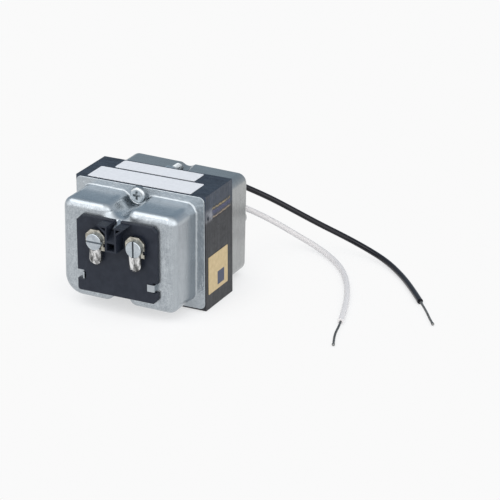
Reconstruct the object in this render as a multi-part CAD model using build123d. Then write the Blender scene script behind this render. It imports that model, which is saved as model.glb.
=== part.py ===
"""Box-mount control transformer: laminated core, wound bobbin, two drawn shells, terminals, leads."""
from build123d import *
import os
from dataclasses import dataclass
from math import atan2, degrees, pi, radians, tan

# Millimetres. X runs to the right as seen from the terminal side, Y away from that
# side towards the leads, Z up. The origin is the centre of the core's underside.

# Core: a stack of E laminations, closed by I laminations across the open legs
core_width = 76.2
leg_width = 12.7
centre_leg_width = 25.4
window_height = 38.1
stack_depth = 30.0
upper_screw_inset = 4.35
lower_screw_inset = 4.75
screw_hole_diameter = 5.6

# Weld beads along the joint of the E and I stacks, one on each side
weld_width = 3.2
weld_proud = 0.35
weld_root = 0.9
weld_length = 25.0

# Bobbin, windings and the tape round them
bobbin_wall = 1.2
bobbin_flange = 1.4
bobbin_clearance = 0.3
bobbin_corner = 1.0
primary_share = 0.5
primary_air = 1.1
secondary_air = 1.9
tape_thickness = 0.5
flange_margin = 1.1
card_thickness = 0.4
card_inset = 1.0

# Drawn steel shells: a flange, a cup with a scallop for each screw, and rounded edges
sheet = 0.8
flange_side_inset = 0.4
flange_corner = 3.0
flange_edge = 0.3
shell_corner = 5.2
front_side_inset = 4.9
front_end_inset = 4.85
front_room = 10.7
front_edge = 4.4
front_low_left_corner = 10.7
front_shift = -0.5
front_lift = 0.55
front_turn = 0.7
front_flange_foot = 1.0
front_flange_head = 0.25
front_notch_radius = 6.1
front_notch_shift = -0.5
front_notch_mouth = 4.8
front_foot_radius = 1.0
rear_side_inset = 3.4
rear_end_inset = 3.95
rear_room = 12.7
rear_edge = 2.4
rear_shift = -0.7
rear_lift = -1.4
rear_turn = 1.3
rear_flange_inset = 2.35
rear_notch_radius = 5.6
rear_notch_shift = -0.1
rear_notch_mouth = 1.6
rear_notch_rise = 3.05
rear_foot_radius = 0.8

# Round boss pressed out of the rear shell's face
boss_radius = 4.8
boss_height = 6.0
boss_edge = 1.2
boss_side_inset = 2.8
boss_drop = 0.6

# Terminal board, its rear block in the shell's window, and its hollow barrier
board_shift = 0.7
plate_shift = -0.85
board_width = 46.9
board_height = 42.2
board_thickness = 2.2
board_upper_left_chamfer = 3.2
board_upper_right_chamfer = 2.4
board_lower_right_chamfer = 2.4
board_lower_left_radius = 1.4
board_edge = 0.4
window_half_width = 18.0
window_low = -12.0
window_high = 15.0
window_corner = 2.0
window_clearance = 0.3
block_depth = 3.2
barrier_height = 7.4
barrier_width = 6.4
barrier_low = 6.4
barrier_high = 20.4
barrier_wall = 1.0
barrier_arm = 4.8
barrier_arm_drop = 4.3
barrier_shelf = 12.4
ramp_drop = 1.5
pocket_depth = 6.0

# Tabs lanced from the front shell: one hooks over the board's right side, one stands
# forward in a notch on the left, and one lies over the barrier's shelf
tab_width = 3.8
tab_reach = 3.3
tab_height = -12.2
tab_clearance = 0.3
tab_notch_height = 5.0
right_notch_depth = 2.4
left_notch_depth = 4.6
left_notch_radius = 1.4
left_tab_proud = 0.6
top_tab_width = 2.8
top_tab_drop = 2.6
top_tab_length = 5.0
top_tab_slope = 22.0
top_tab_root = 2.6

# Screw terminals: stamped plate with a tongue, binding screw, solder mound
terminal_inset = 11.85
terminal_height = 10.0
pad_height = 1.8
pad_margin = 0.6
plate_width = 11.0
plate_height = 10.8
plate_thickness = 1.2
plate_chamfer = 3.0
plate_notch = 0.8
plate_notch_height = 2.0
plate_notch_drop = 2.4
tongue_width = 6.7
tongue_end = -3.5
binding_drop = 0.8
head_diameter = 8.9
head_height = 2.0
head_edge = 0.4
slot_width = 1.0
slot_depth = 1.2
terminal_shank = 3.4
terminal_shank_length = 5.6
shank_clearance = 0.1
solder_margin = 0.15
solder_flatness = 0.55

# Long screws through the core, with nuts behind the rear flange
screw_diameter = 4.8
screw_end = 28.65
pan_diameter = 9.0
pan_height = 3.0
pan_crown = 1.6
recess_width = 1.3
recess_length = 4.6
recess_depth = 1.7
nut_across_flats = 7.9
nut_height = 2.8
thread_clearance = 0.05
screw_point_chamfer = 0.5

# Leads, their bushings in the rear shell, and what they join inside
lead_diameter = 3.2
lead_x = 10.0
exit_drop = 5.3
exit_pitch = 10.0
bushing_rim = 1.7
bushing_rim_diameter = 7.6
bushing_barrel_diameter = 6.0
bushing_inner_length = 2.4
bushing_clearance = 0.1
splice_diameter = 4.8
splice_length = 6.4
conductor_diameter = 1.3
bead_diameter = 1.9
inner_lead_diameter = 1.8
inner_lead_hole = 2.4
inner_lead_height = 12.0
inner_lead_bend = 1.2
inner_lead_reach = 2.4

# Paper and foil labels: each one's margins from the core's left, right, front or rear edge
label_thickness = 0.15
label_corner = 1.0
front_label_left = 6.3
front_label_right = 8.9
front_label_margin = 0.6
front_label_depth = 15.3
rear_label_left = 13.1
rear_label_right = 15.7
rear_label_margin = 1.2
rear_label_depth = 11.2
side_label_front = 2.6
side_label_rear = 5.8
side_label_low = 8.15
side_label_height = 20.8

# Heights and planes that follow from the sizes above
core_height = 2 * leg_width + window_height
middle = core_height / 2
joint_height = leg_width + window_height
window_width = (core_width - centre_leg_width) / 2 - leg_width
half_core = core_width / 2
half_stack = stack_depth / 2
primary_build = window_width - bobbin_clearance - bobbin_wall - tape_thickness - primary_air
secondary_build = window_width - bobbin_clearance - bobbin_wall - tape_thickness - secondary_air
flange_half_width = half_core - flange_side_inset
top_tab_height = middle - upper_screw_inset - front_notch_radius - top_tab_drop
black_exit_height = joint_height - exit_drop
white_exit_height = black_exit_height - exit_pitch
terminal_spacing = board_width - 2 * terminal_inset
binding_height = terminal_height - binding_drop
tube_half_width = centre_leg_width / 2 + bobbin_clearance + bobbin_wall
tube_half_depth = half_stack + bobbin_clearance + bobbin_wall
coil_half_width = centre_leg_width / 2 + window_width - bobbin_clearance
coil_half_depth = tube_half_depth + primary_build + tape_thickness + flange_margin
front_depth = coil_half_depth - half_stack + front_room
rear_depth = coil_half_depth - half_stack + rear_room
shell_face = -half_stack - front_depth
board_face = shell_face - board_thickness
pad_face = board_face - pad_height
plate_face = pad_face - plate_thickness
rear_face = half_stack + rear_depth
exit_plane = rear_face + bushing_rim
terminal_places = {
    "left": board_shift - terminal_spacing / 2,
    "right": board_shift + terminal_spacing / 2,
}
screw_heights = {"top": core_height - upper_screw_inset, "bottom": lower_screw_inset}

# Routes of the free leads from the bushings' faces; the last point is where the insulation ends
black_route = [
    (lead_x, exit_plane, black_exit_height),
    (lead_x, 49.6, black_exit_height),
    (10.4, 55.6, 44.9),
    (12, 61.2, 42.6),
    (15.8, 67.8, 38.4),
    (22, 74, 33.6),
    (30.5, 80.2, 27.8),
    (41.2, 86, 20.7),
    (54, 90.2, 13.8),
    (68, 92.2, 8.4),
    (82.5, 90.2, 4.5),
    (96.8, 83.6, 2.5),
    (110, 72.3, 1.6),
    (122.5, 58, 1.6),
    (133.8, 43.2, 1.6),
]
white_route = [
    (lead_x, exit_plane, white_exit_height),
    (lead_x, 49.6, white_exit_height),
    (9.8, 55.7, 34.9),
    (9.4, 61.5, 33),
    (10, 68, 28.5),
    (13.5, 74.3, 22.9),
    (20.8, 80.7, 17.7),
    (30.8, 85.3, 11.7),
    (42.5, 86.6, 6.2),
    (55, 84.2, 2.9),
    (66.8, 77, 1.6),
    (77.8, 66.2, 1.6),
    (87.3, 52.3, 1.6),
    (95.3, 36.2, 1.6),
    (102, 18.8, 1.6),
    (107.2, 1.3, 1.6),
]
# Bare ends, from the insulation's end to the tip
black_end_route = [
    black_route[-1],
    (137.75, 38.03, 1.6),
    (142.9, 31, 1.4),
    (147.2, 24.6, 1.1),
    (150.1, 20.9, 1.0),
]
white_end_route = [
    white_route[-1],
    (108.91, -4.45, 1.6),
    (110.6, -12.6, 1.4),
    (113, -19.6, 1.1),
    (115.1, -24.6, 1.0),
]


def block(low, high):
    """Box between two opposite corners."""
    size = [h - l for l, h in zip(low, high)]
    centre = [(h + l) / 2 for l, h in zip(low, high)]
    return Pos(*centre) * Box(*size)


def along_y(sketch, near, far):
    """Solid of a sketch drawn in X and Z, from the plane y = near back to y = far."""
    return extrude(Plane((0, far, 0), x_dir=(1, 0, 0), z_dir=(0, -1, 0)) * sketch, amount=far - near)


def rod(radius, near, far, x, z):
    """Cylinder along Y, from y = near to y = far."""
    return along_y(Pos(x, z) * Circle(radius), near, far)


def build_core():
    """The E stack with its legs up, the I stack on them, and the beads that join the two."""
    e_stack = block((-core_width / 2, -half_stack, 0), (core_width / 2, half_stack, joint_height))
    for side in (-1, 1):
        centre = side * (centre_leg_width + window_width) / 2
        low = (centre - window_width / 2, -half_stack, leg_width)
        high = (centre + window_width / 2, half_stack, joint_height)
        e_stack -= block(low, high)
    i_stack = block((-core_width / 2, -half_stack, joint_height), (core_width / 2, half_stack, core_height))
    bore = screw_hole_diameter / 2
    e_stack -= rod(bore, -half_stack, half_stack, 0, screw_heights["bottom"])
    i_stack -= rod(bore, -half_stack, half_stack, 0, screw_heights["top"])
    beads = {}
    for name, side in (("left", -1), ("right", 1)):
        face = side * core_width / 2
        low = (face, joint_height - weld_width / 2)
        high = (face, joint_height + weld_width / 2)
        crown = ThreePointArc(low, (face + side * weld_proud, joint_height), high)
        root = (face - side * weld_root, joint_height)
        profile = make_face([crown, Line(high, root), Line(root, low)])
        bead = along_y(profile, -weld_length / 2, weld_length / 2)
        e_stack -= bead
        i_stack -= bead
        beads["weld_bead_" + name] = bead
    return {"core_e_laminations": e_stack, "core_i_laminations": i_stack, **beads}


def ring(half_width, half_depth, corner, hole_half_width, hole_half_depth, hole_corner, low, high):
    """Upright rectangular ring with rounded corners, between two heights."""
    plan = RectangleRounded(2 * half_width, 2 * half_depth, corner)
    plan -= RectangleRounded(2 * hole_half_width, 2 * hole_half_depth, hole_corner)
    return extrude(Pos(0, 0, low) * plan, amount=high - low)


def build_coil():
    """Bobbin with three flanges on the centre leg, a winding in each bay, tape round each winding."""
    low = leg_width
    high = joint_height - bobbin_clearance
    bays = high - low - 3 * bobbin_flange
    divider = low + bobbin_flange + bays * (1 - primary_share)
    leg_half_width = centre_leg_width / 2 + bobbin_clearance
    leg_half_depth = half_stack + bobbin_clearance
    hole = (leg_half_width, leg_half_depth, bobbin_corner / 2)
    bobbin = ring(tube_half_width, tube_half_depth, bobbin_corner, *hole, low, high)
    for base in (low, divider, high - bobbin_flange):
        bobbin += ring(coil_half_width, coil_half_depth, bobbin_corner, *hole, base, base + bobbin_flange)
    pieces = {"coil_bobbin": bobbin}
    spans = {
        "primary": (divider + bobbin_flange, high - bobbin_flange, primary_build),
        "secondary": (low + bobbin_flange, divider, secondary_build),
    }
    for name, (base, top, build) in spans.items():
        tube = (tube_half_width, tube_half_depth, bobbin_corner)
        wire = (tube_half_width + build, tube_half_depth + build, bobbin_corner + build)
        tape = [size + tape_thickness for size in wire]
        pieces[name + "_winding"] = ring(*wire, *tube, base, top)
        pieces[name + "_tape"] = ring(*tape, *wire, base, top)
    return pieces


@dataclass
class Pressing:
    """Sizes of one shell, with its place and its scallops measured from the core's middle."""
    half_width: float
    half_height: float
    depth: float
    edge: float
    low_corner: float
    shift: float
    lift: float
    turn: float
    flange_low: float
    flange_high: float
    notch_radius: float
    notch_shift: float
    notch_mouth: float
    notch_rise: float
    foot_radius: float


front_pressing = Pressing(
    half_width=half_core - front_side_inset,
    half_height=middle - front_end_inset,
    depth=front_depth,
    edge=front_edge,
    low_corner=front_low_left_corner,
    shift=front_shift,
    lift=front_lift,
    turn=-front_turn,
    flange_low=front_flange_foot - middle,
    flange_high=middle - front_flange_head,
    notch_radius=front_notch_radius,
    notch_shift=front_notch_shift,
    notch_mouth=front_notch_mouth,
    notch_rise=0,
    foot_radius=front_foot_radius,
)
rear_pressing = Pressing(
    half_width=half_core - rear_side_inset,
    half_height=middle - rear_end_inset,
    depth=rear_depth,
    edge=rear_edge,
    low_corner=shell_corner,
    shift=-rear_shift,
    lift=rear_lift,
    turn=rear_turn,
    flange_low=rear_flange_inset - middle + rear_lift,
    flange_high=middle - rear_flange_inset + rear_lift,
    notch_radius=rear_notch_radius,
    notch_shift=-rear_notch_shift,
    notch_mouth=rear_notch_mouth,
    notch_rise=rear_notch_rise,
    foot_radius=rear_foot_radius,
)


def shell_cup(pressing, inset):
    """Solid inside a shell's outer face moved in by an inset, with its two screw scallops."""
    plan = Rectangle(2 * (pressing.half_width - inset), 2 * (pressing.half_height - inset))
    low_left = plan.vertices().group_by(Axis.Y)[0].sort_by(Axis.X)[0]
    others = [v for v in plan.vertices() if (v.X, v.Y) != (low_left.X, low_left.Y)]
    plan = fillet(others, shell_corner - inset)
    low_left = plan.vertices().sort_by(lambda v: v.X + v.Y)[0]
    plan = fillet(low_left, pressing.low_corner - inset)
    plan = Pos(pressing.shift, pressing.lift) * Rot(0, 0, pressing.turn) * plan
    cup = along_y(plan, inset - pressing.depth, 0)
    cup = fillet(cup.faces().sort_by(Axis.Y)[0].edges(), pressing.edge - inset)
    radius = pressing.notch_radius + inset
    for height, side in ((screw_heights["bottom"], -1), (screw_heights["top"], 1)):
        tilt = Rot(-side * degrees(atan2(pressing.notch_rise, pressing.depth)), 0, 0)
        place = Pos(pressing.notch_shift, 0, height - middle)
        cup -= place * tilt * rod(radius, -2 * pressing.depth, pressing.depth, 0, 0)
    mouths = [e for e in cup.edges() if abs((e @ 0.5).X) < 1.3 * radius and abs((e @ 0.5).Y) > 0.5]
    return fillet(mouths, pressing.notch_mouth - inset)


def drawn_shell(pressing):
    """Shell with its flange's back on y = 0 and its cup towards -Y."""
    low, high = pressing.flange_low, pressing.flange_high
    flange = RectangleRounded(2 * flange_half_width, high - low, flange_corner)
    plate = along_y(Pos(0, (low + high) / 2) * flange, -sheet, 0)
    plate = fillet(plate.faces().sort_by(Axis.Y)[0].edges(), flange_edge)
    body = shell_cup(pressing, 0) + plate
    seat = body.faces().filter_by(lambda f: abs(f.center().Y + sheet) < 0.01 and f.inner_wires())[0]
    body = fillet(seat.inner_wires()[0].edges(), pressing.foot_radius)
    body -= shell_cup(pressing, sheet)
    back = body.faces().filter_by(lambda f: abs(f.center().Y) < 0.01 and f.inner_wires())[0]
    return fillet(back.inner_wires()[0].edges(), pressing.foot_radius + sheet / 2)


def hooked_tab():
    """Strip that stands up in the board's right notch and bends over its face."""
    edge = board_shift + plate_shift + board_width / 2
    stand = edge - right_notch_depth + tab_clearance
    outer = stand + sheet
    hook = board_face - sheet
    tip = stand - tab_reach
    points = [
        (outer, shell_face + sheet / 2),
        (outer, hook),
        (tip, hook),
        (tip, board_face),
        (stand, board_face),
        (stand, shell_face + sheet / 2),
    ]
    profile = make_face(Polyline(*points, close=True))
    bend = [v for v in profile.vertices() if abs(v.X - outer) < 0.01 and abs(v.Y - hook) < 0.01]
    profile = fillet(bend, sheet * 0.9)
    strip = extrude(profile, amount=tab_width)
    return Pos(0, 0, middle + tab_height - tab_width / 2) * strip


def standing_tab():
    """Strip that stands forward at the inner end of the board's left notch."""
    edge = board_shift + plate_shift - board_width / 2
    stand = edge + left_notch_depth - tab_clearance
    low = (stand - sheet, board_face - left_tab_proud, middle + tab_height - tab_width / 2)
    high = (stand, shell_face + sheet / 2, middle + tab_height + tab_width / 2)
    strip = block(low, high)
    return fillet(strip.faces().sort_by(Axis.Y)[0].edges().filter_by(Axis.Z), sheet * 0.4)


def top_tab():
    """Strip that comes out of the shell over the barrier's shelf, sloping down as it goes."""
    strip = block((-top_tab_width / 2, -top_tab_length, 0), (top_tab_width / 2, top_tab_root, sheet))
    return Pos(board_shift, shell_face, middle + top_tab_height) * Rot(top_tab_slope, 0, 0) * strip


def build_front_shell():
    """Front shell with the window behind the terminal board and three tabs for it."""
    shell = Pos(0, -half_stack, middle) * drawn_shell(front_pressing)
    for height in screw_heights.values():
        shell -= rod(screw_hole_diameter / 2, -half_stack - sheet, -half_stack, 0, height)
    window = RectangleRounded(2 * window_half_width, window_high - window_low, window_corner)
    place = Pos(board_shift, middle + (window_high + window_low) / 2)
    shell -= along_y(place * window, shell_face, shell_face + sheet)
    return shell + hooked_tab() + standing_tab() + top_tab()


def lead_heights():
    return {"black": black_exit_height, "white": white_exit_height}


def build_rear_shell():
    """Rear shell with a pressed boss near its right side and two holes for the leads."""
    boss = rod(boss_radius, -rear_depth - boss_height, -rear_depth, 0, 0)
    boss = fillet(boss.faces().sort_by(Axis.Y)[0].edges(), boss_edge)
    hollow = rod(boss_radius - sheet, -rear_depth - boss_height + sheet, -rear_depth + sheet, 0, 0)
    reach = rear_pressing.half_width + rear_shift - boss_side_inset - boss_radius
    place = Pos(-reach, 0, rear_lift - boss_drop)
    shell = drawn_shell(rear_pressing) + place * boss - place * hollow
    shell = Pos(0, half_stack, middle) * Rot(0, 0, 180) * shell
    for height in screw_heights.values():
        shell -= rod(screw_hole_diameter / 2, half_stack, half_stack + sheet, 0, height)
    for height in lead_heights().values():
        shell -= rod(bushing_barrel_diameter / 2, rear_face - sheet, rear_face, lead_x, height)
    return shell


def build_board():
    """Moulded terminal board with a block in the shell's window and a hollow T-shaped barrier."""
    plate = Rectangle(board_width, board_height)
    corners = plate.vertices().sort_by(lambda v: 2 * v.Y + v.X)
    cuts = (board_lower_right_chamfer, board_upper_left_chamfer, board_upper_right_chamfer)
    plate = fillet(corners[0], board_lower_left_radius)
    for corner, cut in zip(corners[1:], cuts):
        near = plate.vertices().sort_by_distance((corner.X, corner.Y, 0))[0]
        plate = chamfer(near, cut)
    for side, depth in ((-1, left_notch_depth), (1, right_notch_depth)):
        notch = Rectangle(2 * depth, tab_notch_height)
        if side < 0:
            inner_top = notch.vertices().sort_by(lambda v: v.X + v.Y)[-1]
            notch = fillet(inner_top, left_notch_radius)
        plate -= Pos(side * board_width / 2, tab_height) * notch
    plate = Pos(plate_shift, 0) * plate
    top_notch = board_height / 2 - top_tab_height + tab_clearance + sheet
    plate -= Pos(0, board_height / 2) * Rectangle(top_tab_width + 2 * tab_clearance, 2 * top_notch)
    board = along_y(plate, board_face, shell_face)
    board = chamfer(board.faces().sort_by(Axis.Y)[0].outer_wire().edges(), board_edge)
    block_plan = RectangleRounded(
        2 * (window_half_width - window_clearance),
        window_high - window_low - 2 * window_clearance,
        window_corner - window_clearance,
    )
    block_plan = Pos(0, (window_high + window_low) / 2) * block_plan
    board += along_y(block_plan, shell_face, shell_face + block_depth)
    half = barrier_width / 2
    outline = [
        (-half, barrier_low),
        (half, barrier_low),
        (half, barrier_high - barrier_arm_drop),
        (half + barrier_arm, barrier_high),
        (-half - barrier_arm, barrier_high),
        (-half, barrier_high - barrier_arm_drop),
    ]
    front = board_face - barrier_height
    board += along_y(make_face(Polyline(*outline, close=True)), front, board_face)
    inner = half - barrier_wall
    low_pocket = (barrier_low + barrier_shelf) / 2
    pocket = Pos(0, low_pocket) * Rectangle(2 * inner, barrier_shelf - barrier_low - 2 * barrier_wall)
    board -= along_y(pocket, front, front + pocket_depth)
    ramp = [
        (front, barrier_shelf),
        (board_face, top_tab_height - ramp_drop),
        (board_face, barrier_high + barrier_wall),
        (front, barrier_high + barrier_wall),
    ]
    wedge = make_face(Plane.YZ * Polyline(*ramp, close=True))
    board -= Pos(-inner, 0, 0) * extrude(wedge, amount=2 * inner, dir=(1, 0, 0))
    for side in (-1, 1):
        foot = side * (half - 0.2)
        gusset = [
            (foot, barrier_high - barrier_arm_drop + 1.4 * barrier_wall),
            (foot, barrier_high - barrier_wall),
            (side * (half + barrier_arm - 2.2 * barrier_wall), barrier_high - barrier_wall),
        ]
        board -= along_y(make_face(Polyline(*gusset, close=True)), front, front + pocket_depth)
    for x in (-terminal_spacing / 2, terminal_spacing / 2):
        board += along_y(Pos(x, 0) * terminal_plan(pad_margin), pad_face, board_face)
        bore = terminal_shank / 2 + shank_clearance
        board -= rod(bore, pad_face, pad_face + terminal_shank_length, x, binding_height)
        board -= rod(inner_lead_hole / 2, pad_face, shell_face + block_depth, x, 0)
    return Pos(board_shift, 0, middle) * board


def terminal_plan(inset):
    """Outline of a terminal plate and its round-ended tongue, moved in by an inset."""
    half = plate_width / 2 - inset
    high = terminal_height + plate_height / 2 - inset
    low = terminal_height - plate_height / 2 + inset
    plate = Pos(0, (high + low) / 2) * Rectangle(2 * half, high - low)
    cut = [v for v in plate.vertices() if v.Y > terminal_height or v.X < 0]
    plate = chamfer(cut, plate_chamfer - inset / 2)
    radius = tongue_width / 2 - inset
    centre = tongue_end + tongue_width / 2
    plate += Pos(0, (centre + low) / 2 + 0.5) * Rectangle(2 * radius, low - centre + 1)
    return plate + Pos(0, centre) * Circle(radius)


def build_terminal(x, slot_turn):
    """Plate with its tongue, binding screw and solder of one terminal."""
    plate = terminal_plan(0)
    for side in (-1, 1):
        notch = Rectangle(2 * plate_notch, plate_notch_height)
        plate -= Pos(side * plate_width / 2, terminal_height - plate_notch_drop) * notch
    blank = along_y(plate, plate_face, pad_face)
    blank -= rod(terminal_shank / 2 + shank_clearance, plate_face, pad_face, 0, binding_height)
    blank -= rod(inner_lead_hole / 2, plate_face, pad_face, 0, 0)
    head_face = plate_face - head_height
    head = rod(head_diameter / 2, head_face, plate_face, 0, binding_height)
    head = fillet(head.edges().filter_by(GeomType.CIRCLE).sort_by(Axis.Y)[0], head_edge)
    slot = Pos(0, binding_height) * Rot(0, 0, slot_turn) * Rectangle(head_diameter + 1, slot_width)
    head -= along_y(slot, head_face, head_face + slot_depth)
    shank_end = pad_face + terminal_shank_length - shank_clearance
    screw = head + rod(terminal_shank / 2, plate_face, shank_end, 0, binding_height)
    radius = tongue_width / 2 - solder_margin
    low = tongue_end + tongue_width / 2
    high = binding_height - head_diameter / 2 - radius
    sink = radius * (1 - solder_flatness)
    mound = Pos(0, 0, low) * Sphere(radius) + Pos(0, 0, high) * Sphere(radius)
    mound += Pos(0, 0, (low + high) / 2) * Cylinder(radius, high - low)
    mound = Pos(0, plate_face + sink, 0) * mound
    mound &= block((-radius, plate_face - radius, low - radius), (radius, plate_face, high + radius))
    place = Pos(x, 0, middle)
    return place * blank, place * screw, place * mound


def inner_wire(x):
    """Sleeved wire from the secondary winding to the back of a terminal's solder."""
    coil_face = -(tube_half_depth + secondary_build + tape_thickness)
    low = leg_width + bobbin_flange + inner_lead_height
    card_side = -coil_half_depth - card_thickness
    route = [
        (x, plate_face, middle),
        (x, shell_face + block_depth + inner_lead_reach, middle),
        (x, card_side - inner_lead_bend, low),
        (x, coil_face, low),
    ]
    path = FilletPolyline(*route, radius=inner_lead_bend)
    ends = Plane(origin=route[0], z_dir=(0, 1, 0))
    return sweep(ends * Circle(inner_lead_diameter / 2), path)


def build_cards():
    """Fish-paper cards on the bobbin's front and rear edges, with holes for the wires."""
    cards = {}
    low = leg_width + card_inset
    high = joint_height - card_inset
    size = Rectangle(2 * (coil_half_width - card_inset), high - low)
    plan = Pos(0, (high + low) / 2) * size
    wire_height = leg_width + bobbin_flange + inner_lead_height
    front = along_y(plan, -coil_half_depth - card_thickness, -coil_half_depth)
    for x in terminal_places.values():
        front -= rod(inner_lead_hole / 2, -coil_half_depth - card_thickness, -coil_half_depth, x, wire_height)
    cards["front_insulating_card"] = front
    cards["rear_insulating_card"] = along_y(plan, coil_half_depth, coil_half_depth + card_thickness)
    return cards


def build_mounting_screw(height):
    """Pan-head screw through the flange and core, with a cross recess, and its nut."""
    seat = -half_stack - sheet
    head = rod(pan_diameter / 2, seat - pan_height, seat, 0, 0)
    head = fillet(head.edges().filter_by(GeomType.CIRCLE).sort_by(Axis.Y)[0], pan_crown)
    for turn in (0, 90):
        cross = Rot(0, 0, turn) * Rectangle(recess_length, recess_width)
        head -= along_y(cross, seat - pan_height, seat - pan_height + recess_depth)
    screw = head + rod(screw_diameter / 2, seat, screw_end, 0, 0)
    screw = chamfer(screw.edges().filter_by(GeomType.CIRCLE).sort_by(Axis.Y)[-1], screw_point_chamfer)
    nut_seat = half_stack + sheet
    hexagon = RegularPolygon(nut_across_flats / 2, 6, major_radius=False)
    nut = along_y(hexagon, nut_seat, nut_seat + nut_height)
    nut -= rod(screw_diameter / 2 + thread_clearance, nut_seat, nut_seat + nut_height, 0, 0)
    return Pos(0, 0, height) * screw, Pos(0, 0, height) * nut


def build_exit(height):
    """Bushing in the rear shell, the lead's stretch inside the shell, and its splice to the coil."""
    inner_end = rear_face - sheet - bushing_inner_length
    bushing = rod(bushing_rim_diameter / 2, rear_face, exit_plane, lead_x, height)
    bushing = fillet(bushing.edges().filter_by(GeomType.CIRCLE).sort_by(Axis.Y)[-1], bushing_rim / 3)
    bushing += rod(bushing_barrel_diameter / 2 - bushing_clearance, inner_end, rear_face, lead_x, height)
    bushing -= rod(lead_diameter / 2 + bushing_clearance, inner_end, exit_plane, lead_x, height)
    splice_near = coil_half_depth + card_thickness
    splice_far = splice_near + splice_length
    lead = rod(lead_diameter / 2, splice_far, exit_plane, lead_x, height)
    splice = rod(splice_diameter / 2, splice_near, splice_far, lead_x, height)
    return bushing, lead, fillet(splice.edges().filter_by(GeomType.CIRCLE), 0.5)


def lead_tube(name, route, diameter):
    """Round tube along a route of straight runs joined by arcs as large as the runs allow."""
    points = [Vector(*p) for p in route]
    runs = [b - a for a, b in zip(points, points[1:])]
    radii = []
    for before, after in zip(runs, runs[1:]):
        turn = before.get_angle(after)
        radii.append(0.45 * min(before.length, after.length) / tan(radians(turn) / 2))
    path = FilletPolyline(*route, radius=radii)
    start = Plane(origin=points[0], z_dir=runs[0])
    tube = sweep(start * Circle(diameter / 2), path)
    expected = pi * diameter**2 / 4 * path.length
    print(name, "length", round(path.length, 1), "volume ratio", round(tube.volume / expected, 4))
    print("   radii", [round(r, 1) for r in radii])
    return tube


def bare_end(name, route):
    """Tinned conductor past the insulation's end, with a small bead of solder at the tip."""
    wire = lead_tube(name, route, conductor_diameter)
    return wire + Pos(*route[-1]) * Sphere(bead_diameter / 2)


def top_label(left, right, near, far):
    """Label on the core's top between two margins and two depths."""
    plan = RectangleRounded(core_width - left - right, far - near, label_corner)
    return Pos((left - right) / 2, (near + far) / 2, core_height) * extrude(plan, amount=label_thickness)


def build_labels():
    """Two paper labels on the core's top and a foil label on its right side."""
    front_near = front_label_margin - half_stack
    rear_far = half_stack - rear_label_margin
    side_plan = RectangleRounded(
        stack_depth - side_label_front - side_label_rear, side_label_height, label_corner / 2
    )
    side_middle = (side_label_front - side_label_rear) / 2
    side_place = (half_core, side_middle, side_label_low + side_label_height / 2)
    side = Plane(side_place, x_dir=(0, 1, 0), z_dir=(1, 0, 0)) * side_plan
    return {
        "top_label_front": top_label(
            front_label_left, front_label_right, front_near, front_near + front_label_depth
        ),
        "top_label_rear": top_label(rear_label_left, rear_label_right, rear_far - rear_label_depth, rear_far),
        "side_label": extrude(side, amount=label_thickness),
    }


def build_all():
    pieces = {**build_core(), **build_coil(), **build_cards(), **build_labels()}
    pieces["front_shell"] = build_front_shell()
    pieces["rear_shell"] = build_rear_shell()
    pieces["terminal_board"] = build_board()
    for name, turn in (("left", 0), ("right", 90)):
        x = terminal_places[name]
        plate, screw, mound = build_terminal(x, turn)
        pieces["terminal_plate_" + name] = plate
        pieces["terminal_screw_" + name] = screw
        pieces["terminal_solder_" + name] = mound
        pieces["secondary_wire_" + name] = inner_wire(x)
    for name, height in screw_heights.items():
        screw, nut = build_mounting_screw(height)
        pieces["mounting_screw_" + name] = screw
        pieces["mounting_nut_" + name] = nut
    for colour, height in lead_heights().items():
        bushing, inner, splice = build_exit(height)
        pieces["lead_bushing_" + colour] = bushing
        pieces["inner_lead_" + colour] = inner
        pieces["lead_splice_" + colour] = splice
    pieces["black_lead"] = lead_tube("black lead", black_route, lead_diameter)
    pieces["white_lead"] = lead_tube("white lead", white_route, lead_diameter)
    pieces["black_lead_bare_end"] = bare_end("black bare end", black_end_route)
    pieces["white_lead_bare_end"] = bare_end("white bare end", white_end_route)
    return pieces


os.makedirs("parts", exist_ok=True)
for node, shape in build_all().items():
    export_step(shape, f"parts/{node}.step")
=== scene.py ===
import math

import bpy
import bmesh
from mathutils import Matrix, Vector


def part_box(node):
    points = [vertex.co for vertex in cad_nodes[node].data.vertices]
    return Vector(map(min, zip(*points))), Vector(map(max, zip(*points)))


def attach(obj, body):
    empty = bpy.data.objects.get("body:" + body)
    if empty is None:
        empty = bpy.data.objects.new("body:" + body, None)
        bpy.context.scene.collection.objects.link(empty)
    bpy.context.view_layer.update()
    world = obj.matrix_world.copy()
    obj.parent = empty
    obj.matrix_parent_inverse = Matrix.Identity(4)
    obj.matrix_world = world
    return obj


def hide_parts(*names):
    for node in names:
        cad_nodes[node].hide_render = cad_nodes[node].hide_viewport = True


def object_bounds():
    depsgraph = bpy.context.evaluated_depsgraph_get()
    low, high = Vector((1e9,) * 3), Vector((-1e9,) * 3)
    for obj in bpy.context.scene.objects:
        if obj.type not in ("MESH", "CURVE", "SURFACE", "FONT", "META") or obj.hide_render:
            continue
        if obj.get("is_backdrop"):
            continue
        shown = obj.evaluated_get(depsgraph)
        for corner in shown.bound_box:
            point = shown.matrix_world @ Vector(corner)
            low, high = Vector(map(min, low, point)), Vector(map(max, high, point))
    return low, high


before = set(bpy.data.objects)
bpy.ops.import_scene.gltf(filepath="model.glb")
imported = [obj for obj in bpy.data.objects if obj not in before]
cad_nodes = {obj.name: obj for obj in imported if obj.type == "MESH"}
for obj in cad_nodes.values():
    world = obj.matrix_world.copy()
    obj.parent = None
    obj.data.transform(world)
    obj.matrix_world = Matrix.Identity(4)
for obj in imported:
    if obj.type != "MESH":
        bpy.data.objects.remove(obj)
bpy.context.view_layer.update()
bpy.ops.object.select_all(action="DESELECT")
scene = bpy.context.scene
scene.view_settings.view_transform = "Standard"

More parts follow.
